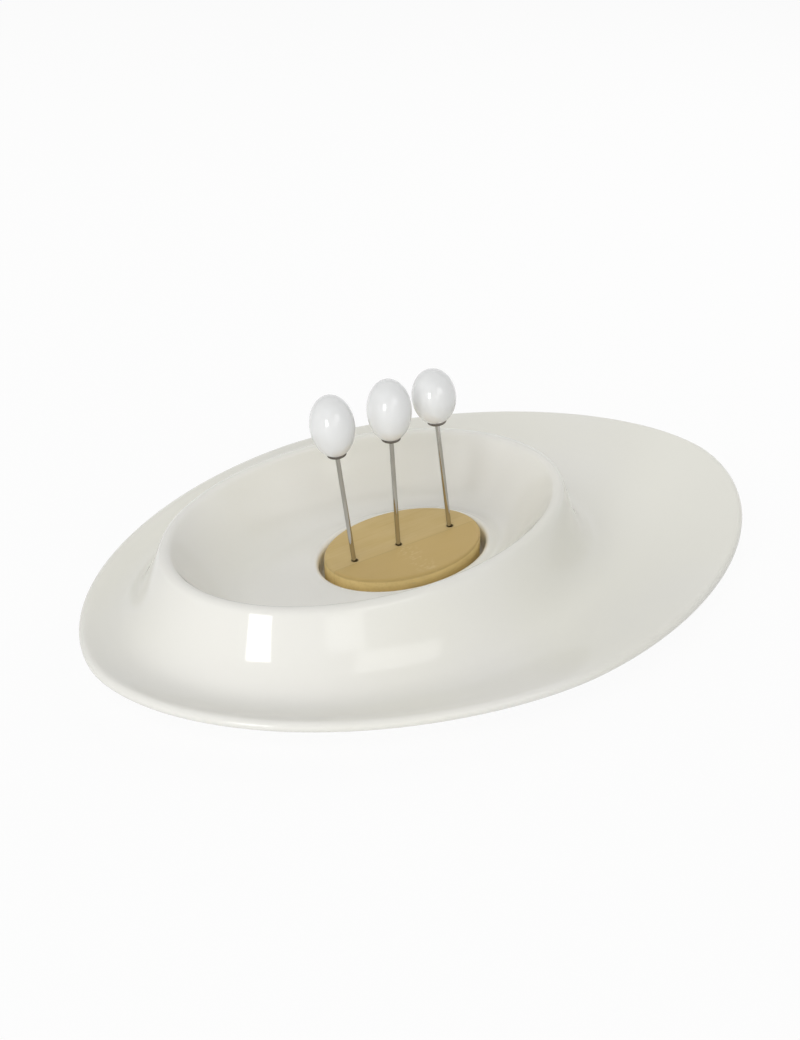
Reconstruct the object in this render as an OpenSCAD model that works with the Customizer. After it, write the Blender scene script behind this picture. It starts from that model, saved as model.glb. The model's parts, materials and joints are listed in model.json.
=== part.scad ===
// Olive dish: an oval porcelain plate with a raised oval bowl set off centre, so that the trough
// round the bowl widens into a wing for the stones. An oval bamboo holder lifts out of a well in
// the bowl's floor and carries three steel picks with egg-shaped porcelain knobs.
// Millimetres, +Z up, the table at z = 0, +X towards the wide wing.

/* [Plate] */
// Length of the plate over its rim
plate_length = 300; // [280:1:330]
// Width of the plate over its rim
plate_width = 212; // [200:1:236]
// Height of the rim's top above the table
rim_height = 16; // [14:0.5:20]
// Thickness of the rounded rim
rim_thickness = 4.5; // [3.5:0.1:6]
// How pointed the plate's oval is at its ends; 1 is a plain ellipse
rim_point = 1.09; // [1:0.01:1.15]
// Thickness of the porcelain
wall = 5; // [4:0.1:6]

/* [Bowl] */
// Length of the bowl's crest line
crest_length = 169; // [160:1:180]
// Width of the bowl's crest line
crest_width = 114.5; // [108:0.5:124]
// Height of the crest above the table
crest_height = 43; // [38:0.5:50]
// Distance of the bowl's centre from the plate's centre, towards the narrow end
bowl_offset = 28.4; // [24:0.1:32]
// Run of the inner wall at the narrow end, from the floor's edge to the crest
bowl_wall_run = 30; // [22:0.5:36]
// Height of the bowl's floor above the table
floor_height = 18.5; // [17.5:0.1:22]
// Slope of the inner wall below the crest, in degrees
inner_slope = 54; // [45:1:60]
// Length of that slope
inner_lead = 12; // [6:0.5:14]
// Radius of the crest's rounding
crest_round = 3; // [2:0.1:4]
// Slope of the outer wall below the crest, in degrees
outer_slope = 67; // [55:1:70]
// Length of that slope
outer_lead = 12; // [6:0.5:14]

/* [Trough] */
// Distance from the rim to the trough's lowest line at the narrow end
flange_end = 12; // [9:0.5:15]
// Distance from the rim to the trough's lowest line at the sides
flange_side = 22; // [18:0.5:26]
// Distance from the rim to the trough's lowest line at the wing
flange_wing = 64; // [54:0.5:68]
// Depth of the trough below the rim's top, halfway along the plate
trough_depth = 3.8; // [2.5:0.1:5]
// Extra depth of the trough at the wing, and loss of depth at the narrow end
trough_tilt = 2; // [0:0.1:2.5]
// How far the trough reaches level up to the outer wall at the narrow end
toe_end = 13.5; // [8:0.5:16]
// How far the trough reaches level up to the outer wall at the sides
toe_side = 16; // [8:0.5:18]
// How far the trough reaches level up to the outer wall at the wing
toe_wing = 22; // [10:0.5:24]
// Slope at which the rim's rounding starts, in degrees
rim_slope = 10; // [4:1:20]
// Rise of the flange's last stretch up to the rim
rim_drop = 1.2; // [0.4:0.1:2.5]

/* [Foot] */
// Width of the foot ring's flat
foot_width = 5; // [3:0.1:7]
// Distance from the rim to the foot ring at the narrow end
foot_end_inset = 20; // [17:0.5:24]
// Distance from the rim to the foot ring at the sides
foot_side_inset = 27; // [25:0.5:31]
// Distance from the rim to the foot ring at the wing
foot_wing_inset = 70; // [68:0.5:80]
// Rounding of the foot ring's edges
foot_edge = 0.8; // [0.5:0.1:1]
// Depth to which the foot ring is ground flat after firing
foot_grind = 0.3; // [0.1:0.1:0.5]
// Fillet between the foot ring and the underside
foot_fillet = 1.5; // [0.8:0.1:1.8]

/* [Pick holder] */
// Length of the bamboo holder
holder_length = 69; // [62:0.5:76]
// Width of the bamboo holder
holder_width = 47.4; // [42:0.2:52]
// Thickness of the bamboo holder
holder_thickness = 12; // [11:0.5:14]
// Rounding of the holder's edges
holder_round = 1; // [0.5:0.1:2]
// Distance of the holder's centre from the plate's centre, towards the narrow end
holder_offset = 11; // [8:0.1:16]
// Height that the holder stands proud of the well's lip
holder_proud = 3; // [2:0.1:4]
// Gap between the holder and the well's wall
well_gap = 2.2; // [1:0.1:3]
// Radius of the lip round the well
well_lip = 2; // [1.2:0.1:2.5]
// Width of the floor outside the lip, at the wing's end and at the sides
floor_ledge = 3; // [2:0.1:6]
// Clearance under the holder, and under each pick's tip
seat_gap = 0.2; // [0.1:0.05:0.4]

/* [Pick holes] */
// Distance between neighbouring holes
hole_pitch = 23.2; // [20:0.1:25]
// Distance of the middle hole from halfway between the others, towards the narrow end
middle_shift = 2.1; // [0:0.1:3]
// Play of the wire in its hole
hole_play = 0.8; // [0.75:0.05:1.4]
// Depth of a hole
hole_depth = 8; // [7:0.1:9]

/* [Picks] */
// Diameter of the steel wire
wire_d = 1.8; // [1.4:0.05:2.2]
// Length of wire between the holder and the ferrule
wire_length = 48.5; // [40:0.5:56]
// Length of the ground point
point_length = 5; // [3:0.1:6]
// Diameter of the blunt end of the point
point_d = 0.4; // [0.2:0.05:0.6]
// Lean of each pick in its loose hole, in degrees, from the narrow end
pick_lean = [7.1, 3.3, 6.5]; // [0:0.1:8]
// Way that the picks lean, in degrees from the wing's end
lean_heading = 145; // [0:1:360]
// Depth below the holder's top at which a leaning wire crosses its hole's axis
lean_pivot = 2.5; // [2:0.1:3]

/* [Knobs] */
// Greatest diameter of a knob
knob_d = 17.7; // [16:0.1:20]
// Height of each knob over its ferrule, from the narrow end
knob_height = [24.6, 24.8, 22.1]; // [20:0.1:28]
// Diameter of the flat under a knob, and of its ferrule
ferrule_d = 7.8; // [6:0.1:9]
// Thickness of the ferrule
ferrule_thickness = 1.2; // [0.8:0.1:2]
// Clearance of the ferrule round the wire
ferrule_clearance = 0.02; // [0.01:0.01:0.1]
// Thickness of the cement round the wire in a knob's bore
cement_wall = 0.6; // [0.3:0.1:1]
// Depth of the bore in a knob
knob_bore_depth = 12; // [8:0.5:15]
// Thickness of the cement over the wire's end
cement_cap = 1.5; // [0.5:0.1:3]

/* [Hidden] */
$fn = 64;

// Sides of the oval rings that the dish is lofted through
RING_SIDES = 72;
// Bands in a knob's outline
KNOB_BANDS = 26;
// Step of the ferrule's rounded edge, in degrees
EDGE_STEP = 22.5;
// How far a cutting shape runs past the face that it cuts
CUT = 1;

PORCELAIN = [0.93, 0.925, 0.90];
KNOB_WHITE = [0.94, 0.945, 0.95];
BAMBOO = [0.78, 0.62, 0.38];
STEEL = [0.62, 0.60, 0.58];
CEMENT = [0.80, 0.79, 0.75];

lip_r = rim_thickness / 2;
rim_z = rim_height - lip_r;
trough_z = rim_height - trough_depth;
lip_height = floor_height + well_lip / 2;
holder_top = lip_height + holder_proud;
holder_bottom = holder_top - holder_thickness;
well_floor = holder_bottom - seat_gap;
well_fillet = min(well_gap, 2);
hole_d = wire_d + hole_play;
knob_bore_d = wire_d + 2 * cement_wall;

// Angle at which the well's lip hands over to the bowl's floor, in degrees
lip_turn = 50;
// Angle at which the rim hands over to the underside
rim_under_turn = -80;
// Fillets under the well
under_fillet = 1.5;
// How far the hollow's top lies outside the crest, which evens out the ridge's two walls
hollow_shift = 0.8;
// Depth of the hollow's top below the crest
hollow_drop = 2 * wall;
// Share of the rim's pointedness that the trough follows
trough_follow = 0.7;

// How long a face stays level at its two ends, as shares of its run
ledge_ease = [0.4, 0.4];
floor_ease = 0.33;
flange_ease = 0.4;
rim_ease = 0.4;
rim_under_ease = [0.15, 0.45];
hollow_ease = [0.30, 0.55];

// A ring is an oval level: [centre x, half length, half width, height, rise of its wing end, pointedness]
function ring(cx, a, b, z, rise = 0, point = 1) = [cx, a, b, z, rise, point];
function ring_between(left, right, b, z, rise = 0, point = 1) =
    ring((left + right) / 2, (right - left) / 2, b, z, rise, point);
function grow(r, d, dz = 0) = r + [0, d, d, dz, 0, 0];
function left_end(r) = r[0] - r[1];
function right_end(r) = r[0] + r[1];
function mix(p, q, t) = p + (q - p) * t;
function bezier(p0, p1, p2, p3, t) = let (u = 1 - t)
    u*u*u*p0 + 3*u*u*t*p1 + 3*u*t*t*p2 + t*t*t*p3;

// The plan of ring p at the height of ring r
function level(p, r) = [p[0], p[1], p[2], r[3], r[4], p[5]];
// Rings along a curve from r0 to r1 that leaves towards ring c0 and arrives from ring c1
function sweep(r0, c0, c1, r1, steps, last = 0) = [
    for (i = [1 : steps - last]) bezier(r0, c0, c1, r1, i / steps)
];
// The same, level at both ends
function flow(r0, r1, ease, steps) =
    sweep(r0, level(mix(r0, r1, ease[0]), r0), level(mix(r1, r0, ease[1]), r1), r1, steps);
// Rings along a round edge of radius r, whose centre runs along ring c
function round_edge(c, r, from, to, steps) = [
    for (i = [0 : steps])
        let (t = mix(from, to, i / steps)) grow(c, r * cos(t), r * sin(t))
];

// Level lines that the dish's faces run through
well = ring(-holder_offset, holder_length/2 + well_gap, holder_width/2 + well_gap, well_floor);
well_lip_line = grow(well, well_lip, lip_height - well_lip - well_floor);
crest = ring(-bowl_offset, crest_length/2, crest_width/2, crest_height);
floor_edge = ring_between(left_end(crest) + bowl_wall_run, right_end(well_lip_line) + well_lip + floor_ledge,
    well_lip_line[2] + well_lip + floor_ledge, floor_height);
trough = ring_between(flange_end - plate_length/2, plate_length/2 - flange_wing,
    plate_width/2 - flange_side, trough_z, -trough_tilt, mix(1, rim_point, trough_follow));
toe = ring_between(left_end(trough) + toe_end, right_end(trough) - toe_wing,
    trough[2] - toe_side, trough_z, -trough_tilt);
rim = ring(0, plate_length/2 - lip_r, plate_width/2 - lip_r, rim_z, 0, rim_point);

// Level lines of the underside, one wall below
under_trough = grow(trough, 0, -wall);
foot = ring_between(foot_end_inset - plate_length/2, plate_length/2 - foot_wing_inset,
    plate_width/2 - foot_side_inset, -foot_grind);
foot_root = level(foot, under_trough);
hollow_foot = grow(foot, -foot_width);
hollow_side = level(hollow_foot, grow(trough, 0, -wall/2));
hollow_toe = level(grow(toe, -wall), hollow_side);
hollow_top = grow(crest, hollow_shift, -hollow_drop);
hollow_shoulder = grow(hollow_top, wall/2);
under_floor = grow(floor_edge, wall, -wall);
under_well = grow(well, wall, -wall);
under_lip = level(under_well, under_floor);

// The faces of the dish, each a run of rings, from the well's middle over the rim to the underside
function last_of(rings) = rings[len(rings) - 1];
face_well = concat(
    round_edge(grow(well, -well_fillet, well_fillet), well_fillet, -90, 0, steps = 3),
    round_edge(well_lip_line, well_lip, 180, lip_turn, steps = 6));
crest_edge = round_edge(grow(crest, 0, -crest_round), crest_round, 90 + inner_slope, 90 - outer_slope,
    steps = 6);
face_bowl = concat(
    flow(last_of(face_well), floor_edge, ledge_ease, steps = 3),
    sweep(floor_edge, level(mix(floor_edge, crest, floor_ease), floor_edge),
        grow(crest_edge[0], -inner_lead * cos(inner_slope), -inner_lead * sin(inner_slope)), crest_edge[0],
        steps = 8, last = 1),
    crest_edge);
face_outer = sweep(last_of(crest_edge),
    grow(last_of(crest_edge), outer_lead * cos(outer_slope), -outer_lead * sin(outer_slope)),
    toe, trough, steps = 10);
rim_edge = round_edge(rim, lip_r, rim_slope + 90, rim_under_turn, steps = 8);
face_rim = concat(
    sweep(trough, level(mix(trough, rim, flange_ease), trough),
        level(mix(rim_edge[0], trough, rim_ease), grow(rim_edge[0], 0, -rim_drop)), rim_edge[0],
        steps = 6, last = 1),
    rim_edge);
face_foot = concat(
    flow(last_of(face_rim), under_trough, rim_under_ease, steps = 4),
    round_edge(grow(foot_root, foot_fillet, -foot_fillet), foot_fillet, 90, 180, steps = 2),
    round_edge(grow(foot, -foot_edge, foot_edge), foot_edge, 0, -90, steps = 2),
    round_edge(grow(hollow_foot, foot_edge, foot_edge), foot_edge, -90, -180, steps = 1),
    [hollow_side]);
face_hollow = concat(
    sweep(hollow_side, hollow_toe, hollow_shoulder, hollow_top, steps = 8),
    flow(hollow_top, under_floor, hollow_ease, steps = 7),
    round_edge(grow(under_lip, under_fillet, -under_fillet), under_fillet, 90, 180, steps = 2),
    round_edge(grow(under_well, -under_fillet, under_fillet), under_fillet, 0, -90, steps = 2));
dish_rings = concat(face_well, face_bowl, face_outer, face_rim, face_foot, face_hollow);

function pointed(v, p) = sign(v) * pow(abs(v), p);
function ring_points(r) = [
    for (i = [0 : RING_SIDES - 1])
        let (t = 360 * i / RING_SIDES, x = pointed(cos(t), r[5]), y = pointed(sin(t), r[5]))
            [r[0] + r[1] * x, r[2] * y, r[3] + r[4] * x]
];

// Closed skin over a run of rings, with a flat oval at its first and last ring
module loft(rings) {
    n = RING_SIDES;
    count = len(rings);
    start = count * n;
    end = start + 1;
    first = rings[0];
    last = rings[count - 1];
    points = concat(
        [for (r = rings) each ring_points(r)],
        [[first[0], 0, first[3]], [last[0], 0, last[3]]]);
    faces = concat(
        [for (i = [0 : n - 1]) [start, (i + 1) % n, i]],
        [for (k = [0 : count - 2], i = [0 : n - 1])
            [k * n + i, k * n + (i + 1) % n, (k + 1) * n + i]],
        [for (k = [0 : count - 2], i = [0 : n - 1])
            [k * n + (i + 1) % n, (k + 1) * n + (i + 1) % n, (k + 1) * n + i]],
        [for (i = [0 : n - 1]) [end, (count - 1) * n + i, (count - 1) * n + (i + 1) % n]]);
    polyhedron(points = points, faces = faces);
}

// The fired dish, with its foot ring ground flat at the table's height
module porcelain_dish() {
    color(PORCELAIN)
        difference() {
            loft(dish_rings);
            translate([-plate_length/2, -plate_width/2, -CUT]) cube([plate_length, plate_width, CUT]);
        }
}

function hole_x(i) = -holder_offset + (i - 1) * hole_pitch - (i == 1 ? middle_shift : 0);

// Oval board with rounded edges
module bamboo_board() {
    r = holder_round;
    inner = ring(-holder_offset, holder_length/2 - r, holder_width/2 - r, 0);
    loft(concat(
        round_edge(grow(inner, 0, holder_top - r), r, 90, 0, steps = 3),
        round_edge(grow(inner, 0, holder_bottom + r), r, 0, -90, steps = 3)));
}

module bamboo_holder() {
    color(BAMBOO)
        difference() {
            bamboo_board();
            for (i = [0 : 2])
                translate([hole_x(i), 0, holder_top - hole_depth]) cylinder(h = hole_depth + CUT, d = hole_d);
        }
}

// Puts a pick in its hole: z = 0 is the holder's top, and the wire runs along z
module stand_pick(i) {
    translate([hole_x(i), 0, holder_top - lean_pivot])
        rotate([0, 0, lean_heading])
            rotate([0, pick_lean[i], 0])
                translate([0, 0, lean_pivot])
                    children();
}

knob_base = wire_length + ferrule_thickness;
pin_end = knob_base + knob_bore_depth - cement_cap;

module pick_pin(i) {
    tip = seat_gap - hole_depth;
    color(STEEL)
        stand_pick(i) {
            translate([0, 0, tip]) cylinder(h = point_length, d1 = point_d, d2 = wire_d);
            translate([0, 0, tip + point_length]) cylinder(h = pin_end - tip - point_length, d = wire_d);
        }
}

// Shallow pressed cap that the knob sits on, turned in at its lower edge
module pick_ferrule(i) {
    bore = wire_d / 2 + ferrule_clearance;
    edge = ferrule_d / 2;
    r = ferrule_thickness / 2;
    color(STEEL)
        stand_pick(i)
            translate([0, 0, wire_length])
                rotate_extrude()
                    polygon(concat(
                        [[bore, 0]],
                        [for (t = [-90 : EDGE_STEP : 0]) [edge - r + r * cos(t), r + r * sin(t)]],
                        [[edge, ferrule_thickness], [bore, ferrule_thickness]]));
}

// Egg with a small flat under it, as wide as the ferrule
module pick_knob(i) {
    flat = asin(ferrule_d / knob_d);
    half = knob_height[i] / (1 + cos(flat));
    bore = knob_bore_d / 2;
    function egg(t) = [knob_d / 2 * sin(t), half * (cos(flat) - cos(t))];
    color(KNOB_WHITE)
        stand_pick(i)
            translate([0, 0, knob_base])
                rotate_extrude()
                    polygon(concat(
                        [[0, knob_bore_depth], [bore, knob_bore_depth], [bore, 0]],
                        [for (k = [0 : KNOB_BANDS - 1]) egg(mix(flat, 180, k / KNOB_BANDS))],
                        [[0, knob_height[i]]]));
}

module knob_cement(i) {
    color(CEMENT)
        stand_pick(i)
            translate([0, 0, knob_base])
                difference() {
                    cylinder(h = knob_bore_depth, d = knob_bore_d);
                    translate([0, 0, -CUT]) cylinder(h = pin_end - knob_base + CUT, d = wire_d);
                }
}

porcelain_dish();
bamboo_holder();
for (i = [0 : 2]) {
    pick_pin(i);
    pick_ferrule(i);
    pick_knob(i);
    knob_cement(i);
}
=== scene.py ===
"""Olive dish: an oval porcelain plate with a raised bowl, a bamboo holder and three steel picks.

Metres, +Z up, the table at z = 0, +X towards the plate's wide wing.
"""

import json
import math
from typing import NamedTuple

import bpy
import numpy as np
from bpy.props import FloatProperty, FloatVectorProperty, IntProperty, PointerProperty
from mathutils import Matrix, Vector


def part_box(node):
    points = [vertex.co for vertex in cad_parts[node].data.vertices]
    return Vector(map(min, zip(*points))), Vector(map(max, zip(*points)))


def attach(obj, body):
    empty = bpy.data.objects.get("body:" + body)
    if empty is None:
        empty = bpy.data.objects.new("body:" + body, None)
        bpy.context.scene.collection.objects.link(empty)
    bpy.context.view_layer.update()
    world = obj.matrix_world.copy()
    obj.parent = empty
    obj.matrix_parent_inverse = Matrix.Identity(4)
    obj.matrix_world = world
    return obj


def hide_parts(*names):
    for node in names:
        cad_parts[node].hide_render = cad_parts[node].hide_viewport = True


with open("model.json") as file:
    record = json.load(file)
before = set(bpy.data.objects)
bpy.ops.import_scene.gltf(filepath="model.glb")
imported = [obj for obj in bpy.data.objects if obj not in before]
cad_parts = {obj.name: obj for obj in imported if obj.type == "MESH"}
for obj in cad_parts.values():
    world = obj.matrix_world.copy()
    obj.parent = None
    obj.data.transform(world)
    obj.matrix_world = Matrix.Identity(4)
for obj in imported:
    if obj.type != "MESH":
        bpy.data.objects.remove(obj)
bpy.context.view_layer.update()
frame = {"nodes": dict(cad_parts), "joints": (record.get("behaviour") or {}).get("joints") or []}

bl_info = {
    "name": "Olive Dish",
    "version": (1, 0, 0),
    "blender": (4, 5, 0),
    "location": "View3D > Sidebar > Olive Dish",
    "description": "Models a porcelain olive dish with a bamboo holder and three steel picks",
    "category": "Add Mesh",
}

MM = 0.001
PICKS = (1, 2, 3)
DISH_LOW, DISH_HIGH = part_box("porcelain_dish")
HOLDER_LOW, HOLDER_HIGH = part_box("bamboo_holder")
PICK_AXES = {joint["child"]: Vector(joint["axis"]).normalized() for joint in frame["joints"]}

HOLDER_SIDES = 96
HOLE_SIDES = 48
WIRE_SIDES = 32
FERRULE_SIDES = 64
KNOB_SIDES = 48
KNOB_RINGS = 29
KNOB_STEPS = 29.3  # More than the rings, so that the last one leaves a small flat to close
SHARP_EDGE = math.radians(40)
FLOOR_SIZE = 8


def length(name, default, description):
    """A size in metres."""
    return FloatProperty(name=name, default=default, description=description, unit="LENGTH", precision=5)


def angle(name, degrees, description):
    """An angle, given in degrees and kept in radians."""
    return FloatProperty(name=name, default=math.radians(degrees), description=description, subtype="ANGLE")


def share(name, default, description):
    """A plain number, such as a share of a run."""
    return FloatProperty(name=name, default=default, description=description)


def colour(name, default, description):
    """A colour, in linear light."""
    return FloatVectorProperty(
        name=name, default=default, description=description, subtype="COLOR", size=3, min=0, max=1)


class DishSizes(bpy.types.PropertyGroup):
    """Sizes of the porcelain dish."""
    plate_length: length("Plate length", DISH_HIGH.x - DISH_LOW.x, "Length over the rim")
    plate_width: length("Plate width", DISH_HIGH.y - DISH_LOW.y, "Width over the rim")
    rim_height: length("Rim height", 16 * MM, "Height of the rim's top above the table")
    rim_thickness: length("Rim thickness", 4.5 * MM, "Thickness of the rounded rim")
    rim_point: share("Rim point", 1.09, "How pointed the plate's oval is; 1 is a plain ellipse")
    wall: length("Wall", 5 * MM, "Thickness of the porcelain")
    crest_length: length("Crest length", 169 * MM, "Length of the bowl's crest line")
    crest_width: length("Crest width", 114.5 * MM, "Width of the bowl's crest line")
    crest_height: length("Crest height", DISH_HIGH.z, "Height of the crest above the table")
    crest_round: length("Crest round", 3 * MM, "Radius of the crest's rounded top")
    bowl_offset: length("Bowl offset", 28.4 * MM, "Distance of the bowl's centre from the plate's")
    bowl_wall_run: length("Bowl wall run", 30 * MM, "Run of the inner wall at the narrow end")
    floor_height: length("Floor height", 18.5 * MM, "Height of the bowl's floor above the table")
    inner_slope: angle("Inner slope", 54, "Slope of the inner wall below the crest")
    inner_lead: length("Inner lead", 12 * MM, "Length of that slope")
    outer_slope: angle("Outer slope", 67, "Slope of the outer wall below the crest")
    outer_lead: length("Outer lead", 12 * MM, "Length of that slope")
    flange_end: length("Flange at the end", 12 * MM, "From the rim to the trough at the narrow end")
    flange_side: length("Flange at the sides", 22 * MM, "From the rim to the trough at the sides")
    flange_wing: length("Flange at the wing", 64 * MM, "From the rim to the trough at the wing")
    trough_depth: length("Trough depth", 3.8 * MM, "Depth of the trough below the rim's top")
    trough_tilt: length("Trough tilt", 2 * MM, "Extra depth of the trough at the wing")
    trough_follow: share("Trough follow", 0.7, "Share of the rim's pointedness that the trough follows")
    toe_end: length("Toe at the end", 13.5 * MM, "Level stretch of the trough at the narrow end")
    toe_side: length("Toe at the sides", 16 * MM, "Level stretch of the trough at the sides")
    toe_wing: length("Toe at the wing", 22 * MM, "Level stretch of the trough at the wing")
    rim_slope: angle("Rim slope", 10, "Slope at which the rim's rounding starts")
    rim_drop: length("Rim drop", 1.2 * MM, "Rise of the flange's last stretch up to the rim")
    foot_width: length("Foot width", 5 * MM, "Width of the foot ring's flat")
    foot_end_inset: length("Foot inset at the end", 20 * MM, "From the rim to the foot ring at the narrow end")
    foot_side_inset: length("Foot inset at the sides", 27 * MM, "From the rim to the foot ring at the sides")
    foot_wing_inset: length("Foot inset at the wing", 70 * MM, "From the rim to the foot ring at the wing")
    foot_edge: length("Foot edge", 0.8 * MM, "Rounding of the foot ring's edges")
    foot_fillet: length("Foot fillet", 1.5 * MM, "Fillet between the foot ring and the underside")
    well_gap: length("Well gap", 2.2 * MM, "Gap between the holder and the well's wall")
    well_lip: length("Well lip", 2 * MM, "Radius of the lip round the well")
    well_floor: length("Well floor", HOLDER_LOW.z - 0.2 * MM, "Height of the well's floor above the table")
    floor_ledge: length("Floor ledge", 3 * MM, "Width of the floor outside the well's lip")
    under_fillet: length("Under fillet", 1.5 * MM, "Fillets under the well")
    hollow_shift: length("Hollow shift", 0.8 * MM, "How far the hollow's top lies outside the crest")
    hollow_drop: length("Hollow drop", 10 * MM, "Depth of the underside's hollow below the crest")
    ring_sides: IntProperty(name="Ring sides", default=128, description="Sides of each oval ring")


class HolderSizes(bpy.types.PropertyGroup):
    """Sizes of the bamboo holder."""
    edge_round: length("Edge round", 1 * MM, "Rounding of the holder's edges")
    hole_diameter: length("Hole diameter", 2.6 * MM, "Diameter of a pick's hole")
    hole_depth: length("Hole depth", 8 * MM, "Depth of a pick's hole")
    hole_pitch: length("Hole pitch", 23.2 * MM, "Distance between neighbouring holes")
    middle_shift: length("Middle shift", 2.1 * MM, "How far the middle hole lies off the middle")
    glue_line: length("Glue line", -2.2 * MM, "Place of the glue line across the holder")
    top_knuckle: length("Top knuckle", -13 * MM, "Place of the near strip's knuckle along the holder")
    side_knuckle: length("Side knuckle", -20 * MM, "Place of the lower strip's knuckle along the holder")


class PickSizes(bpy.types.PropertyGroup):
    """Sizes of the picks."""
    wire_diameter: length("Wire diameter", 1.8 * MM, "Diameter of the steel wire")
    wire_length: length("Wire length", 48.5 * MM, "Wire between the holder and the ferrule")
    tip_depth: length("Tip depth", 7.8 * MM, "How deep a pick's tip stands in its hole")
    point_length: length("Point length", 5 * MM, "Length of the ground point")
    lean_pivot: length("Lean pivot", 2.5 * MM, "Depth at which a leaning wire crosses its hole's axis")
    knob_diameter: length("Knob diameter", 17.7 * MM, "Greatest diameter of a knob")
    ferrule_diameter: length("Ferrule diameter", 7.8 * MM, "Diameter of the ferrule")
    ferrule_thickness: length("Ferrule thickness", 1.2 * MM, "Thickness of the ferrule")
    tip_radius: length("Tip radius", 0.2 * MM, "How blunt the wire's point is")
    wire_in_knob: length("Wire in the knob", 10 * MM, "How far the wire goes into the knob")


class Colours(bpy.types.PropertyGroup):
    """Colours of the finishes."""
    porcelain: colour("Porcelain", (0.86, 0.85, 0.80), "Warm white of the dish")
    porcelain_warm: colour("Porcelain drift", (0.86, 0.85, 0.775), "Where the glaze lies thicker")
    biscuit: colour("Biscuit", (0.78, 0.75, 0.68), "Bare porcelain of the ground foot")
    knob: colour("Knob", (0.83, 0.835, 0.83), "Cool white of the knobs")
    bamboo_light: colour("Light bamboo", (0.60, 0.45, 0.20), "Strip on the far side")
    bamboo_near: colour("Near strip", (0.55, 0.39, 0.148), "Strip on the near side")
    bamboo_dark: colour("Dark bamboo", (0.54, 0.385, 0.145), "Fibres and clouded places")
    # Lighter than the top's strips: the cut edge's own warm tone, brightened as painted light on the holder's
    # sides.
    lit_side_grain: colour("Side grain", (0.84, 0.64, 0.28), "Cut edge of the strips")
    bamboo_fleck: colour("Bamboo flecks", (0.68, 0.54, 0.28), "Flecks of the knuckles")
    steel: colour("Steel", (0.62, 0.60, 0.57), "Drawn wire")
    cap: colour("Cap", (0.26, 0.24, 0.22), "Pressed caps under the knobs")
    cement: colour("Cement", (0.72, 0.70, 0.64), "Cement in the knobs")


class StageSettings(bpy.types.PropertyGroup):
    """Camera and light."""
    azimuth: angle("Azimuth", -34.23, "Turn of the camera round the dish")
    elevation: angle("Elevation", 31.72, "Height of the camera over the table, as an angle")
    distance: length("Distance", 0.8166, "From the camera to the point that it looks at")
    lens: FloatProperty(name="Lens", default=69.23, description="Focal length", unit="CAMERA")
    aim_right: length("Aim right", -10.3 * MM, "Aim beside the rim's centre, across the picture")
    aim_up: length("Aim up", 13.3 * MM, "Aim above the rim's centre, up the picture")
    window_power: share("Window", 3.9, "Watts of the tall soft box that shows in the glaze")
    fill_power: share("Fill", 2.3, "Watts of the wide soft box on the right that shows in the glaze")
    low_power: share("Low", 0.6, "Watts of the small low soft box that shows in the glaze")
    front_power: share("Front", 3.2, "Watts of the bounced light from the camera's side")
    high_power: share("High", 6.1, "Watts of the bounced light from high on the camera's side")
    back_right_power: share("Back right", 2.55, "Watts of the bounced light from the far right")
    back_left_power: share("Back left", 1.4, "Watts of the bounced light from the far left")
    left_power: share("Left", 1.6, "Watts of the bounced light from the left")
    ambient: share("Ambient", 0.03, "Level of the light from all round")


class OliveDishSettings(bpy.types.PropertyGroup):
    """All settings of the olive dish."""
    dish: PointerProperty(type=DishSizes)
    holder: PointerProperty(type=HolderSizes)
    picks: PointerProperty(type=PickSizes)
    colours: PointerProperty(type=Colours)
    stage: PointerProperty(type=StageSettings)


# Rings: oval level lines that a piece's faces run through

def ring(centre, half_length, half_width, height, rise=0.0, point=1.0):
    """Oval at a height; rise lifts its wing end, and point draws its ends out."""
    return np.array((centre, half_length, half_width, height, rise, point))


def ring_between(left, right, half_width, height, rise=0.0, point=1.0):
    """Oval from one end to the other."""
    return ring((left + right) / 2, (right - left) / 2, half_width, height, rise, point)


def grow(oval, out, up=0.0):
    """The ring, moved outwards and up."""
    return oval + np.array((0, out, out, up, 0, 0))


def left_end(oval):
    """Where the ring ends towards the narrow end."""
    return oval[0] - oval[1]


def right_end(oval):
    """Where the ring ends towards the wing."""
    return oval[0] + oval[1]


def mix(start, end, amount):
    """A share of the way from one ring or number to another."""
    return start + (end - start) * amount


def level(plan, height):
    """The plan of one ring at the height of another."""
    return np.array((plan[0], plan[1], plan[2], height[3], height[4], plan[5]))


def sweep(start, leave, arrive, end, steps):
    """Rings along a curve that leaves towards one ring and arrives from another."""
    rings = []
    for i in range(1, steps + 1):
        t = i / steps
        u = 1 - t
        rings.append(u**3 * start + 3 * u * u * t * leave + 3 * u * t * t * arrive + t**3 * end)
    return rings


def flow(start, end, ease, steps):
    """Rings along a curve that is level at both ends."""
    leave = level(mix(start, end, ease[0]), start)
    arrive = level(mix(end, start, ease[1]), end)
    return sweep(start, leave, arrive, end, steps)


def round_edge(centre, radius, start, end, steps):
    """Rings round an edge whose centre runs along a ring; angles in degrees."""
    rings = []
    for i in range(steps + 1):
        t = math.radians(mix(start, end, i / steps))
        rings.append(grow(centre, radius * math.cos(t), radius * math.sin(t)))
    return rings


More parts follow.
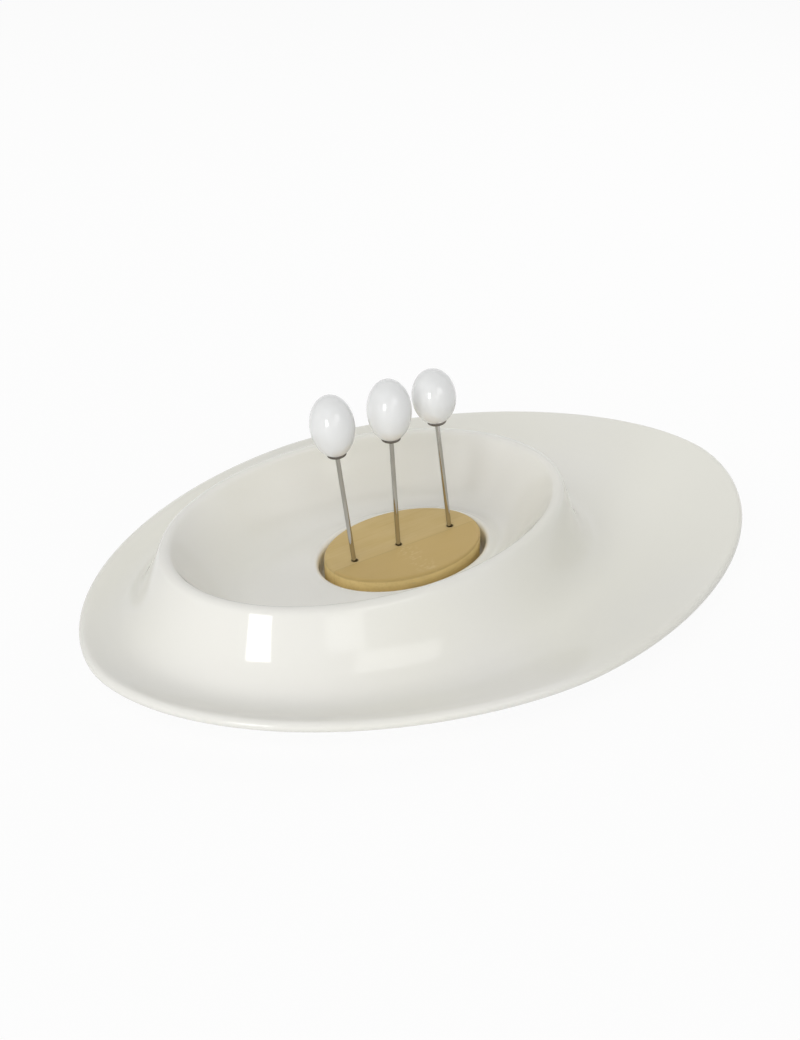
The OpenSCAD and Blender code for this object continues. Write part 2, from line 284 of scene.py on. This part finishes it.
def dish_rings(s):
    """The dish's skin, from the well's floor over the rim to the underside of the well."""
    lip_r = s.rim_thickness / 2
    trough_z = s.rim_height - s.trough_depth
    lip_z = s.floor_height + s.well_lip / 2
    slope_in, slope_out = math.degrees(s.inner_slope), math.degrees(s.outer_slope)
    slope_rim = math.degrees(s.rim_slope)
    holder_centre = (HOLDER_LOW.x + HOLDER_HIGH.x) / 2

    well = ring(
        holder_centre,
        (HOLDER_HIGH.x - HOLDER_LOW.x) / 2 + s.well_gap,
        (HOLDER_HIGH.y - HOLDER_LOW.y) / 2 + s.well_gap,
        s.well_floor)
    lip_line = grow(well, s.well_lip, lip_z - s.well_lip - s.well_floor)
    crest = ring(-s.bowl_offset, s.crest_length / 2, s.crest_width / 2, s.crest_height)
    floor_edge = ring_between(
        left_end(crest) + s.bowl_wall_run,
        right_end(lip_line) + s.well_lip + s.floor_ledge,
        lip_line[2] + s.well_lip + s.floor_ledge,
        s.floor_height)
    trough = ring_between(
        s.flange_end - s.plate_length / 2,
        s.plate_length / 2 - s.flange_wing,
        s.plate_width / 2 - s.flange_side,
        trough_z, -s.trough_tilt, mix(1, s.rim_point, s.trough_follow))
    toe = ring_between(
        left_end(trough) + s.toe_end,
        right_end(trough) - s.toe_wing,
        trough[2] - s.toe_side,
        trough_z, -s.trough_tilt)
    rim = ring(
        0, s.plate_length / 2 - lip_r, s.plate_width / 2 - lip_r,
        s.rim_height - lip_r, 0, s.rim_point)

    under_trough = grow(trough, 0, -s.wall)
    foot = ring_between(
        s.foot_end_inset - s.plate_length / 2,
        s.plate_length / 2 - s.foot_wing_inset,
        s.plate_width / 2 - s.foot_side_inset, 0)
    foot_root = level(foot, under_trough)
    hollow_foot = grow(foot, -s.foot_width)
    hollow_side = level(hollow_foot, grow(trough, 0, -s.wall / 2))
    hollow_toe = level(grow(toe, -s.wall), hollow_side)
    hollow_top = grow(crest, s.hollow_shift, -s.hollow_drop)
    hollow_shoulder = grow(hollow_top, s.wall / 2)
    under_floor = grow(floor_edge, s.wall, -s.wall)
    under_well = grow(well, s.wall, -s.wall)
    under_lip = level(under_well, under_floor)

    crest_line = grow(crest, 0, -s.crest_round)
    crest_in = round_edge(crest_line, s.crest_round, 90 + slope_in, 90, 5)
    crest_out = round_edge(crest_line, s.crest_round, 90, 90 - slope_out, 5)
    rim_edge = round_edge(rim, lip_r, slope_rim + 90, -80, 8)
    fillet = min(s.well_gap, 2 * MM)

    face_well = (
        round_edge(grow(well, -fillet, fillet), fillet, -90, 0, 3)
        + round_edge(lip_line, s.well_lip, 180, 50, 6))
    face_bowl = (
        flow(face_well[-1], floor_edge, (0.4, 0.4), 3)
        + sweep(
            floor_edge,
            level(mix(floor_edge, crest, 0.33), floor_edge),
            grow(
                crest_in[0],
                -s.inner_lead * math.cos(s.inner_slope),
                -s.inner_lead * math.sin(s.inner_slope)),
            crest_in[0], 10)
        + crest_in[1:])
    face_outer = crest_out[1:] + sweep(
        crest_out[-1],
        grow(
            crest_out[-1],
            s.outer_lead * math.cos(s.outer_slope),
            -s.outer_lead * math.sin(s.outer_slope)),
        toe, trough, 12)
    face_rim = sweep(
        trough,
        level(mix(trough, rim, 0.4), trough),
        level(mix(rim_edge[0], trough, 0.4), grow(rim_edge[0], 0, -s.rim_drop)),
        rim_edge[0], 6)[:-1] + rim_edge
    face_foot = (
        flow(face_rim[-1], under_trough, (0.15, 0.45), 4)
        + round_edge(grow(foot_root, s.foot_fillet, -s.foot_fillet), s.foot_fillet, 90, 180, 2)
        + round_edge(grow(foot, -s.foot_edge, s.foot_edge), s.foot_edge, 0, -90, 2)
        + round_edge(grow(hollow_foot, s.foot_edge, s.foot_edge), s.foot_edge, -90, -180, 2)
        + [hollow_side])
    face_hollow = (
        sweep(hollow_side, hollow_toe, hollow_shoulder, hollow_top, 8)
        + flow(hollow_top, under_floor, (0.30, 0.55), 7)
        + round_edge(grow(under_lip, s.under_fillet, -s.under_fillet), s.under_fillet, 90, 180, 2)
        + round_edge(grow(under_well, -s.under_fillet, s.under_fillet), s.under_fillet, 0, -90, 2))
    return face_well + face_bowl + face_outer + face_rim + face_foot + face_hollow


# Modelling

def extrude_rings(name, rings, sides):
    """A skin over rings, drawn out loop by loop from a circle, with a flat grid over each end."""
    first = rings[0]
    bpy.ops.object.select_all(action="DESELECT")
    bpy.ops.mesh.primitive_circle_add(vertices=sides, radius=1, location=(0, 0, 0))
    piece = bpy.context.object
    piece.name = name
    piece.data.name = name
    bpy.ops.object.mode_set(mode="EDIT")
    bpy.ops.mesh.select_all(action="SELECT")
    bpy.ops.transform.resize(value=(first[1], first[2], 1), center_override=(0, 0, 0))
    bpy.ops.transform.translate(value=(first[0], 0, first[3]))
    for last, oval in zip(rings, rings[1:]):
        bpy.ops.mesh.extrude_edges_move(
            TRANSFORM_OT_translate={"value": (oval[0] - last[0], 0, oval[3] - last[3])})
        bpy.ops.transform.resize(
            value=(oval[1] / last[1], oval[2] / last[2], 1), center_override=(oval[0], 0, oval[3]))
    close_ends(piece, sides)
    draw_ends_out(piece, rings, sides)
    return piece


def close_ends(piece, sides):
    """Fills the first and the last loop of the piece in edit mode, and turns its faces outwards."""
    bpy.ops.object.mode_set(mode="OBJECT")
    count = len(piece.data.vertices)
    for start in (0, count - sides):
        bpy.ops.object.mode_set(mode="EDIT")
        bpy.ops.mesh.select_all(action="DESELECT")
        bpy.ops.object.mode_set(mode="OBJECT")
        for vertex in piece.data.vertices[start:start + sides]:
            vertex.select = True
        bpy.ops.object.mode_set(mode="EDIT")
        bpy.ops.mesh.select_mode(type="VERT")
        bpy.ops.mesh.fill_grid(span=sides // 4)
        bpy.ops.object.mode_set(mode="OBJECT")
    bpy.ops.object.mode_set(mode="EDIT")
    bpy.ops.mesh.select_all(action="SELECT")
    bpy.ops.mesh.normals_make_consistent(inside=False)
    bpy.ops.object.mode_set(mode="OBJECT")


def draw_ends_out(piece, rings, sides):
    """Gives each loop its pointedness and its rise towards the wing."""
    for i, (centre, half_length, half_width, height, rise, point) in enumerate(rings):
        for vertex in piece.data.vertices[i * sides:(i + 1) * sides]:
            along = (vertex.co.x - centre) / half_length
            across = vertex.co.y / half_width
            along = math.copysign(abs(along) ** point, along)
            across = math.copysign(abs(across) ** point, across)
            vertex.co = (centre + half_length * along, half_width * across, height + rise * along)


def finish_piece(piece, body, slot, material, *nodes):
    """Dresses a piece, sets it on its body and lets it stand for its CAD nodes."""
    piece.data.materials.clear()
    piece.data.materials.append(material)
    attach(piece, body)
    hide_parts(*nodes)


def subdivide(piece, levels):
    """Rounds the piece with an applied subdivision surface."""
    modifier = piece.modifiers.new("Subdivision", "SUBSURF")
    modifier.levels = levels
    modifier.render_levels = levels
    bpy.context.view_layer.objects.active = piece
    bpy.ops.object.modifier_apply(modifier=modifier.name)


def hole_places(sizes):
    """Where the picks' holes lie along the holder, from the narrow end."""
    middle = (HOLDER_LOW.x + HOLDER_HIGH.x) / 2
    return [
        middle - sizes.hole_pitch,
        middle - sizes.middle_shift,
        middle + sizes.hole_pitch,
    ]


# Finishes

class Value:
    """A number, colour or vector that a node gives; arithmetic on numbers adds Math nodes."""

    def __init__(self, finish, socket):
        self.finish = finish
        self.socket = socket

    def maths(self, operation, *values):
        return self.finish.node("ShaderNodeMath", {"operation": operation}, dict(enumerate(values)))

    def __add__(self, other):
        return self.maths("ADD", self, other)

    def __sub__(self, other):
        return self.maths("SUBTRACT", self, other)

    def __rsub__(self, other):
        return self.maths("SUBTRACT", other, self)

    def __mul__(self, other):
        return self.maths("MULTIPLY", self, other)

    def __abs__(self):
        return self.maths("ABSOLUTE", self)

    def root(self):
        return self.maths("SQRT", self)

    def larger(self, other):
        return self.maths("MAXIMUM", self, other)

    __radd__ = __add__
    __rmul__ = __mul__


class Finish:
    """A material or a world, built node by node."""

    def __init__(self, owner):
        self.owner = owner
        owner.use_nodes = True
        self.tree = owner.node_tree
        self.tree.nodes.clear()

    def node(self, kind, settings=None, inputs=None, output=0):
        """Adds a node, sets it up, fills or links its sockets, and gives one of its outputs."""
        node = self.tree.nodes.new(kind)
        for name, value in (settings or {}).items():
            setattr(node, name, value)
        for key, value in (inputs or {}).items():
            if isinstance(value, Value):
                self.tree.links.new(value.socket, node.inputs[key])
            else:
                node.inputs[key].default_value = value
        return Value(self, node.outputs[output])

    def place(self):
        """Where a point lies in the dish's own frame."""
        return self.node("ShaderNodeTexCoord", output="Object")

    def stretch(self, place, scale):
        """The place, with each axis multiplied by its own scale."""
        return self.node("ShaderNodeMapping", None, {"Vector": place, "Scale": scale})

    def noise(self, place, scale, detail=2.0):
        """Soft noise from 0 to 1, with so many features to the metre."""
        return self.node("ShaderNodeTexNoise", None, {"Vector": place, "Scale": scale, "Detail": detail})

    def ramp(self, value, low, high):
        """0 below low, 1 above high and smooth between."""
        return self.node(
            "ShaderNodeMapRange", {"interpolation_type": "SMOOTHSTEP"},
            {"Value": value, "From Min": low, "From Max": high})

    def bell(self, value, middle, reach):
        """1 at the middle, falling smoothly to 0 at the reach on both sides."""
        return 1 - self.ramp(abs(value - middle), 0, reach)

    def blend(self, amount, low, high):
        """A colour between two colours."""
        return self.node(
            "ShaderNodeMix", {"data_type": "RGBA"}, {0: amount, 6: low, 7: high}, output=2)

    def bump(self, height, strength, depth):
        """A normal that follows a height."""
        return self.node(
            "ShaderNodeBump", None, {"Height": height, "Strength": strength, "Distance": depth})

    def seen(self):
        """1 for rays from the camera, also by way of gloss or glass, and 0 for light on the dish."""
        camera, gloss, glass = (
            self.node("ShaderNodeLightPath", output=f"Is {ray} Ray")
            for ray in ("Camera", "Glossy", "Transmission"))
        return camera.larger(gloss.larger(glass))

    def surface(self, **inputs):
        """Ends the material with a Principled shader; a socket's name has _ for a space."""
        sockets = {name.replace("_", " "): value for name, value in inputs.items()}
        return self.close(self.node("ShaderNodeBsdfPrincipled", None, sockets))

    def close(self, shader, end="ShaderNodeOutputMaterial"):
        """Links a shader to the output, and gives the material or the world."""
        output = self.tree.nodes.new(end)
        self.tree.links.new(shader.socket, output.inputs["Surface"])
        return self.owner


def opaque(tint):
    """A colour with full alpha."""
    return (*tint, 1)


def darker(tint, level):
    """A colour at a share of its brightness."""
    return tuple(level * c for c in tint)


def porcelain_glaze(colours):
    """Warm white porcelain under a clear glaze, bare where the foot is ground."""
    f = Finish(bpy.data.materials.new("porcelain_glaze"))
    place = f.place()
    height = f.node("ShaderNodeSeparateXYZ", None, {0: place}, output="Z")
    drift = f.noise(place, 11.0, 1.0)
    ripple = f.noise(place, 55.0, 1.0)
    bare = 1 - f.ramp(height, 0.15 * MM, 0.5 * MM)
    glaze = f.blend(
        f.ramp(drift, 0.35, 0.65), opaque(colours.porcelain), opaque(colours.porcelain_warm))
    tint = f.blend(bare, glaze, opaque(colours.biscuit))
    grit = f.noise(place, 1800.0, 2.0)
    rough = 0.05 + 0.04 * drift + bare * 0.6
    relief = f.bump(ripple + bare * grit, 0.06, 0.5 * MM)
    return f.surface(Base_Color=tint, Roughness=rough, Normal=relief, IOR=1.5)


def knob_glaze(colours):
    """Cool white porcelain under a clear glaze."""
    f = Finish(bpy.data.materials.new("knob_glaze"))
    place = f.place()
    drift = f.noise(place, 60.0, 1.0)
    ripple = f.noise(place, 160.0, 1.0)
    shade = darker(colours.knob, 0.97)
    tint = f.blend(drift, opaque(colours.knob), opaque(shade))
    relief = f.bump(ripple, 0.05, 0.2 * MM)
    return f.surface(
        Base_Color=tint, Roughness=0.10 + 0.05 * drift, Normal=relief, IOR=1.6,
        Coat_Weight=0.5, Coat_Roughness=0.05)


def bamboo(colours, sizes, holes):
    """Laminated bamboo: two strips, fibres along the holder, knuckle marks, sides painted lighter as light on
    them, hole rims darkened as burnt wood and hole insides darkened as painted shade.
    """
    f = Finish(bpy.data.materials.new("bamboo"))
    place = f.place()
    x, y, z = (f.node("ShaderNodeSeparateXYZ", None, {0: place}, output=axis) for axis in "XYZ")
    # Features to the metre, along the holder, across it and up
    fibre = f.noise(f.stretch(place, (60, 1500, 1500)), 1.0, 3.0)
    streak = f.noise(f.stretch(place, (20, 240, 240)), 1.0, 2.0)
    cloud = f.noise(f.stretch(place, (70, 130, 130)), 1.0, 3.0)
    dark = (
        0.30 * f.ramp(fibre, 0.42, 0.72)
        + 0.32 * f.ramp(streak, 0.38, 0.70)
        + 0.38 * f.ramp(cloud, 0.3, 0.7))

    from_glue = y - sizes.glue_line
    near = f.ramp(from_glue, 0.15 * MM, -0.15 * MM)
    strip = f.blend(near, opaque(colours.bamboo_light), opaque(colours.bamboo_near))
    # The sides take the side grain's colour, brightened as painted light falling on them.
    side = 1 - f.ramp(z, HOLDER_HIGH.z - 1.6 * MM, HOLDER_HIGH.z - 0.6 * MM)
    strip = f.blend(side, strip, opaque(colours.lit_side_grain))
    tint = f.blend(dark * (1 - 0.5 * side), strip, opaque(colours.bamboo_dark))

    top_knuckle = near * f.bell(x, sizes.top_knuckle, 7 * MM) * (1 - side)
    side_knuckle = side * f.bell(x, sizes.side_knuckle, 8 * MM)
    fleck = f.ramp(f.noise(f.stretch(place, (420, 900, 900)), 1.0, 2.0), 0.50, 0.66)
    tint = f.blend(0.45 * fleck * (top_knuckle + side_knuckle), tint, opaque(colours.bamboo_fleck))

    # Darkest colour: dark glue at the glue line, burnt wood round the holes and painted shade inside the
    # holes.
    burnt_and_shade = darker(colours.bamboo_dark, 0.3)
    glue = f.bell(from_glue, 0, 0.3 * MM)
    scorch_and_shade = 0.22 * glue * f.ramp(streak, 0.3, 0.6)
    # Each hole's inside, where far is the hole's radius, is fully darkened as painted shade; the thin ring
    # round it on the top is darkened as burnt wood.
    rim = sizes.hole_diameter / 2
    for hole in holes:
        along = x - hole
        far = (along * along + y * y).root()
        scorch_and_shade = scorch_and_shade.larger(0.8 - 0.8 * f.ramp(far, rim, rim + 0.45 * MM))
    tint = f.blend(scorch_and_shade, tint, opaque(burnt_and_shade))
    relief = f.bump(fibre + streak, 0.12, 0.1 * MM)
    return f.surface(Base_Color=tint, Roughness=0.42 + 0.15 * streak, Normal=relief)


def drawn_steel(name, steel):
    """Bright steel with fine lines along the wire, read from the upright shape."""
    f = Finish(bpy.data.materials.new(name))
    upright = f.node("ShaderNodeAttribute", {"attribute_name": "upright"}, output="Vector")
    lines = f.noise(f.stretch(upright, (4000, 4000, 40)), 1.0, 2.0)
    cloud = f.noise(f.stretch(upright, (300, 300, 120)), 1.0, 1.0)
    shade = darker(steel, 0.8)
    tint = f.blend(cloud, opaque(steel), opaque(shade))
    relief = f.bump(lines, 0.15, 0.02 * MM)
    return f.surface(
        Base_Color=tint, Metallic=1.0, Roughness=0.05 + 0.06 * lines,
        Specular_Tint=(0.2, 0.2, 0.2, 1), Normal=relief)


def rough_cement(colours):
    """Matt setting cement."""
    f = Finish(bpy.data.materials.new("rough_cement"))
    grain = f.noise(f.place(), 2500.0, 3.0)
    shade = darker(colours.cement, 0.8)
    tint = f.blend(grain, opaque(colours.cement), opaque(shade))
    relief = f.bump(grain, 0.4, 0.1 * MM)
    return f.surface(Base_Color=tint, Roughness=0.8 + 0.1 * grain, Normal=relief)


def pale_floor():
    """White to the camera and in reflections, with the dish's shadow showing faintly."""
    f = Finish(bpy.data.materials.new("pale_floor"))
    paper = f.node("ShaderNodeBsdfDiffuse", None, {"Color": (0.8, 0.8, 0.79, 1)})
    white = f.node("ShaderNodeEmission", None, {"Color": (1, 1, 1, 1), "Strength": 1.0})
    return f.close(f.node("ShaderNodeMixShader", None, {0: 0.94 * f.seen(), 1: paper, 2: white}))


def white_surroundings(ambient):
    """White to the camera and in reflections, and a plain level of light on the dish."""
    f = Finish(bpy.data.worlds.new("surroundings"))
    light, white = (
        f.node("ShaderNodeBackground", None, {"Color": (1, 1, 1, 1), "Strength": strength})
        for strength in (ambient, 1))
    either = f.node("ShaderNodeMixShader", None, {0: f.seen(), 1: light, 2: white})
    return f.close(either, "ShaderNodeOutputWorld")


# Lamps

class Lamp(NamedTuple):
    """Place of an area lamp, in degrees from the camera's line and from the table, and its size."""
    turn: float
    rise: float
    distance: float
    width: float
    height: float


SOFT_BOXES = {
    "window": Lamp(-21, 8.2, 1.5, 0.34, 0.5),
    "fill": Lamp(38, 24, 1.6, 0.85, 0.6),
    "low": Lamp(18.5, 6.5, 1.6, 0.42, 0.33),
}
CARDS = {
    "front": Lamp(0, 15, 1.4, 1.2, 0.6),
    "high": Lamp(-22, 48, 1.2, 1.2, 0.6),
    "back_right": Lamp(135, 40, 0.7, 0.8, 0.6),
    "back_left": Lamp(-135, 35, 0.8, 0.8, 0.6),
    "left": Lamp(-90, 20, 1.0, 1.0, 0.8),
}


# Operators

class OLIVEDISH_OT_dish(bpy.types.Operator):
    """Draws the porcelain dish out of an oval, ring by ring"""
    bl_idname = "olive_dish.dish"
    bl_label = "Porcelain dish"

    def execute(self, context):
        settings = context.scene.olive_dish
        rings = dish_rings(settings.dish)
        dish = extrude_rings("dish", rings, settings.dish.ring_sides)
        subdivide(dish, 1)
        bpy.ops.object.shade_smooth()
        finish_piece(dish, "dish", "dish_glaze", porcelain_glaze(settings.colours), "porcelain_dish")
        return {"FINISHED"}


class OLIVEDISH_OT_holder(bpy.types.Operator):
    """Makes the oval bamboo holder and drills its holes"""
    bl_idname = "olive_dish.holder"
    bl_label = "Bamboo holder"

    def execute(self, context):
        settings = context.scene.olive_dish
        sizes = settings.holder
        r = sizes.edge_round
        centre = (HOLDER_LOW + HOLDER_HIGH) / 2
        half = (HOLDER_HIGH - HOLDER_LOW) / 2
        inner = ring(centre.x, half.x - r, half.y - r, 0)
        rings = (
            round_edge(grow(inner, 0, HOLDER_HIGH.z - r), r, 90, 0, 4)
            + round_edge(grow(inner, 0, HOLDER_LOW.z + r), r, 0, -90, 4))
        holder = extrude_rings("holder", rings, HOLDER_SIDES)
        holes = hole_places(sizes)
        for place in holes:
            self.drill(holder, place, sizes)
        bpy.ops.object.shade_smooth_by_angle(angle=SHARP_EDGE)
        finish = bamboo(settings.colours, sizes, holes)
        finish_piece(holder, "holder", "bamboo", finish, "bamboo_holder")
        return {"FINISHED"}

    def drill(self, holder, place, sizes):
        """Cuts one blind hole with a flat bottom."""
        bpy.ops.object.select_all(action="DESELECT")
        bpy.ops.mesh.primitive_cylinder_add(
            vertices=HOLE_SIDES, radius=sizes.hole_diameter / 2, depth=2 * sizes.hole_depth,
            location=(place, 0, HOLDER_HIGH.z))
        drill = bpy.context.object
        cut = holder.modifiers.new("Hole", "BOOLEAN")
        cut.operation = "DIFFERENCE"
        cut.object = drill
        bpy.context.view_layer.objects.active = holder
        bpy.ops.object.modifier_apply(modifier=cut.name)
        bpy.data.objects.remove(drill)
        holder.select_set(True)


class OLIVEDISH_OT_picks(bpy.types.Operator):
    """Makes the picks: wire, ferrule and knob, and stands them in their holes"""
    bl_idname = "olive_dish.picks"
    bl_label = "Picks"

    def execute(self, context):
        settings = context.scene.olive_dish
        steel = drawn_steel("drawn_steel", settings.colours.steel)
        cap = drawn_steel("cap_steel", settings.colours.cap)
        glaze = knob_glaze(settings.colours)
        cement = rough_cement(settings.colours)
        for number, place in zip(PICKS, hole_places(settings.holder)):
            self.make_pick(settings.picks, number, place, steel, cap, glaze)
            node = frame["nodes"][f"knob_cement_{number}"]
            node.data.materials.clear()
            node.data.materials.append(cement)
        return {"FINISHED"}

    def make_pick(self, s, number, place, steel, cap, glaze):
        """Makes one pick upright, and leans it into its hole."""
        body = f"pick_{number}"
        axis = PICK_AXES[body]
        base = Vector((place, 0, HOLDER_HIGH.z - s.lean_pivot))
        turn = Vector((0, 0, 1)).rotation_difference(axis).to_matrix().to_4x4()
        stand = Matrix.Translation(base) @ turn @ Matrix.Translation((0, 0, s.lean_pivot))
        knob_base = s.wire_length + s.ferrule_thickness
        knob_height = (stand.inverted() @ self.far_point(number, axis)).z - knob_base

        wire = self.wire(f"wire_{number}", s, knob_base)
        ferrule = self.ferrule(f"ferrule_{number}", s)
        knob = self.knob(f"knob_{number}", s, knob_base, knob_height)
        for piece, node, slot, finish in (
            (wire, "pick_pin", "steel", steel),
            (ferrule, "pick_ferrule", "steel", cap),
            (knob, "pick_knob", "knob_glaze", glaze),
        ):
            self.keep_upright(piece)
            piece.data.transform(stand)
            finish_piece(piece, body, slot, finish, f"{node}_{number}")

    def far_point(self, number, axis):
        """The knob's top: its CAD node's point that lies furthest along the pick."""
        points = frame["nodes"][f"pick_knob_{number}"].data.vertices
        return max((v.co for v in points), key=lambda co: co.dot(axis)).copy()

    def keep_upright(self, piece):
        """Keeps each point's place on the upright pick, for grain that runs along it."""
        upright = piece.data.attributes.new("upright", "FLOAT_VECTOR", "POINT")
        for item, vertex in zip(upright.data, piece.data.vertices):
            item.vector = vertex.co

    def wire(self, name, s, knob_base):
        """Straight wire with a slightly blunt point, up into the knob."""
        r = s.wire_diameter / 2
        blunt = s.tip_radius
        tip = ring(0, blunt, blunt, -s.tip_depth)
        rings = (
            [grow(tip, -0.6 * blunt), grow(tip, 0, blunt / 2)]
            + [ring(0, r, r, s.point_length - s.tip_depth)]
            + [ring(0, r, r, knob_base + t * s.wire_in_knob) for t in (-1, 0, 1)])
        wire = extrude_rings(name, rings, WIRE_SIDES)
        bpy.ops.object.shade_smooth_by_angle(angle=SHARP_EDGE)
        return wire

    def ferrule(self, name, s):
        """Shallow pressed cap, turned in at its lower edge."""
        r = s.ferrule_thickness / 2
        inner = s.ferrule_diameter / 2 - r
        edge = ring(0, inner, inner, s.wire_length + r)
        rings = (
            [ring(0, s.wire_diameter / 2, s.wire_diameter / 2, s.wire_length)]
            + round_edge(edge, r, -90, 0, 5)
            + [grow(edge, r, r), grow(edge, 0, r)])
        ferrule = extrude_rings(name, rings, FERRULE_SIDES)
        bpy.ops.object.shade_smooth_by_angle(angle=SHARP_EDGE)
        return ferrule

    def knob(self, name, s, base, height):
        """Egg with a small flat under it, as wide as the ferrule."""
        flat = math.asin(s.ferrule_diameter / s.knob_diameter)
        half = height / (1 + math.cos(flat))
        rings = []
        for i in range(KNOB_RINGS):
            t = mix(flat, math.pi, i / KNOB_STEPS)
            r = s.knob_diameter / 2 * math.sin(t)
            rings.append(ring(0, r, r, base + half * (math.cos(flat) - math.cos(t))))
        knob = extrude_rings(name, rings, KNOB_SIDES)
        subdivide(knob, 1)
        bpy.ops.object.shade_smooth()
        return knob


class OLIVEDISH_OT_stage(bpy.types.Operator):
    """Adds the floor, the soft boxes, the light from all round and the camera"""
    bl_idname = "olive_dish.stage"
    bl_label = "Stage"

    def execute(self, context):
        s = context.scene.olive_dish.stage
        self.floor()
        context.scene.world = white_surroundings(s.ambient)
        for name, place in SOFT_BOXES.items():
            self.lamp(f"{name}_box", s, place, getattr(s, f"{name}_power"))
        for name, place in CARDS.items():
            card = self.lamp(f"{name}_card", s, place, getattr(s, f"{name}_power"))
            card.visible_glossy = False
        self.camera(context.scene, s)
        context.scene.view_settings.view_transform = "Standard"
        return {"FINISHED"}

    def floor(self):
        """The table's top."""
        bpy.ops.object.select_all(action="DESELECT")
        bpy.ops.mesh.primitive_plane_add(size=FLOOR_SIZE, location=(0, 0, 0))
        floor = bpy.context.object
        floor.name = "floor"
        floor.data.materials.append(pale_floor())

    def lamp(self, name, s, place, power):
        """Area lamp turned to the dish."""
        around = s.azimuth - math.pi / 2 + math.radians(place.turn)
        up = math.radians(place.rise)
        towards = Vector((
            math.cos(around) * math.cos(up), math.sin(around) * math.cos(up), math.sin(up)))
        bpy.ops.object.light_add(type="AREA", location=towards * place.distance)
        lamp = bpy.context.object
        lamp.name = name
        lamp.rotation_euler = towards.to_track_quat("Z", "Y").to_euler()
        lamp.data.shape = "RECTANGLE"
        lamp.data.size = place.width
        lamp.data.size_y = place.height
        lamp.data.energy = power
        lamp.visible_camera = False
        return lamp

    def camera(self, scene, s):
        """The photograph's view, set by its angles, distance and aim."""
        dish = scene.olive_dish.dish
        tilt = math.pi / 2 - s.elevation
        turn = Matrix.Rotation(s.azimuth, 4, "Z") @ Matrix.Rotation(tilt, 4, "X")
        rim = Vector((0, 0, dish.rim_height - dish.rim_thickness / 2))
        shift = turn @ Vector((s.aim_right, s.aim_up, s.distance))
        bpy.ops.object.camera_add(location=rim + shift, rotation=turn.to_euler())
        camera = bpy.context.object
        camera.data.lens = s.lens
        camera.data.clip_start = 0.01
        scene.camera = camera


class OLIVEDISH_PT_panel(bpy.types.Panel):
    """Lists the pieces of the olive dish"""
    bl_idname = "OLIVEDISH_PT_panel"
    bl_label = "Olive Dish"
    bl_space_type = "VIEW_3D"
    bl_region_type = "UI"
    bl_category = "Olive Dish"

    def draw(self, context):
        for operator in OPERATORS:
            self.layout.operator(operator.bl_idname)
        settings = context.scene.olive_dish
        for group in (settings.dish, settings.holder, settings.picks, settings.colours, settings.stage):
            box = self.layout.box()
            for name in group.__annotations__:
                box.prop(group, name)


OPERATORS = (OLIVEDISH_OT_dish, OLIVEDISH_OT_holder, OLIVEDISH_OT_picks, OLIVEDISH_OT_stage)
CLASSES = (
    DishSizes, HolderSizes, PickSizes, Colours, StageSettings, OliveDishSettings,
    *OPERATORS, OLIVEDISH_PT_panel,
)


def register():
    for cls in CLASSES:
        bpy.utils.register_class(cls)
    bpy.types.Scene.olive_dish = PointerProperty(type=OliveDishSettings)


def unregister():
    del bpy.types.Scene.olive_dish
    for cls in reversed(CLASSES):
        bpy.utils.unregister_class(cls)


def main():
    register()
    bpy.ops.olive_dish.dish()
    bpy.ops.olive_dish.holder()
    bpy.ops.olive_dish.picks()
    bpy.ops.olive_dish.stage()


if __name__ == "__main__":
    main()
